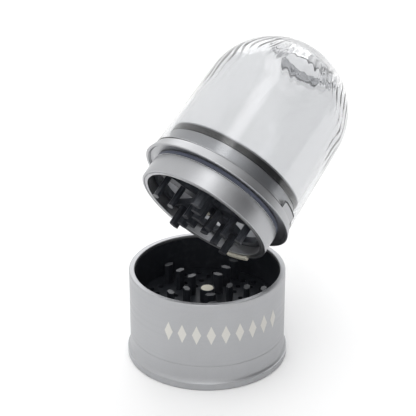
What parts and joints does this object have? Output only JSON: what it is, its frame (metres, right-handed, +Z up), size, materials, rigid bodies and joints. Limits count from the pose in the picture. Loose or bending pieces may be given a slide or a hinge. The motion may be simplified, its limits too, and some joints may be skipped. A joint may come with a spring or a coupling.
{
  "type": "hand grinder with dome jar",
  "caption": "Round two-stage hand grinder: toothed cup on a screw-on catch tray, toothed lid held open above it, clear fluted dome jar on the lid.",
  "frame": {"origin": "centre of the base that the grinder stands on", "axes": "+Z up along the axis of the cup and tray; +X to the right and +Y away as the open lid leans back to +X and +Y"},
  "size_m": [0.0897, 0.0945, 0.1235],
  "materials": {
    "satin_aluminium": "fine bead-blasted satin, clear anodised",
    "black_anodised": "black anodised, satin, lighter on the worn tooth tips",
    "polished_steel": "polished",
    "slate_plastic": "smooth low-friction plastic",
    "black_rubber": "smooth matt",
    "cream_magnet": "plated, soft sheen",
    "cream_pad": "soft, matt",
    "clear_glass": "clear, polished, fluted inside"
  },
  "bodies": {
    "tray": {"catch_tray": "satin_aluminium"},
    "seat": {"tray_seal": "black_rubber"},
    "cup": {"cup_shell": "satin_aluminium", "cup_liner": "black_anodised", "insert_ring": "black_anodised", "lower_plate": "black_anodised", "lower_teeth": "black_anodised", "lower_post": "black_anodised", "lower_magnet": "cream_magnet"},
    "pivot": {"pivot_ball": "cream_magnet"},
    "slip": {"slip_ring": "slate_plastic"},
    "head": {"skirt_ring": "satin_aluminium", "thrust_washer": "polished_steel", "upper_plate": "black_anodised", "upper_teeth": "black_anodised", "upper_post": "black_anodised", "collar": "satin_aluminium", "neck_ring": "satin_aluminium", "dome_seal": "black_rubber", "rim_pad": "cream_pad"},
    "jar": {"dome": "clear_glass"}
  },
  "joints": [
    {"name": "cup_rise", "type": "slide", "parent": "tray", "child": "seat", "axis": [0, 0, 1], "range_m": [0, 0.0045]},
    {"name": "cup_turn", "type": "hinge", "parent": "seat", "child": "cup", "pos_m": [0, 0, 0.01], "axis": [0, 0, 1], "range_deg": [0, 1085]},
    {"name": "lid_lift", "type": "slide", "parent": "cup", "child": "pivot", "axis": [0, 0, 1], "range_m": [-0.0324, 0.0122]},
    {"name": "lid_tilt", "type": "hinge", "parent": "pivot", "child": "slip", "pos_m": [0, 0, 0.06384], "axis": [-0.7627, 0.6468, 0], "range_deg": [-54.69, 20]},
    {"name": "grind_spin", "type": "hinge", "parent": "slip", "child": "head", "pos_m": [0, 0, 0.06384], "axis": [0.5278, 0.6224, 0.578], "continuous": true},
    {"name": "dome_pull", "type": "slide", "parent": "head", "child": "jar", "axis": [0.5278, 0.6224, 0.578], "range_m": [0, 0.04]}
  ],
  "couplings": [
    {"joint": "cup_turn", "follows": "cup_rise", "rad_per_m": 4188.8},
    {"joint": "lid_lift", "follows": "lid_tilt", "m_per_rad": 0.033776}
  ]
}
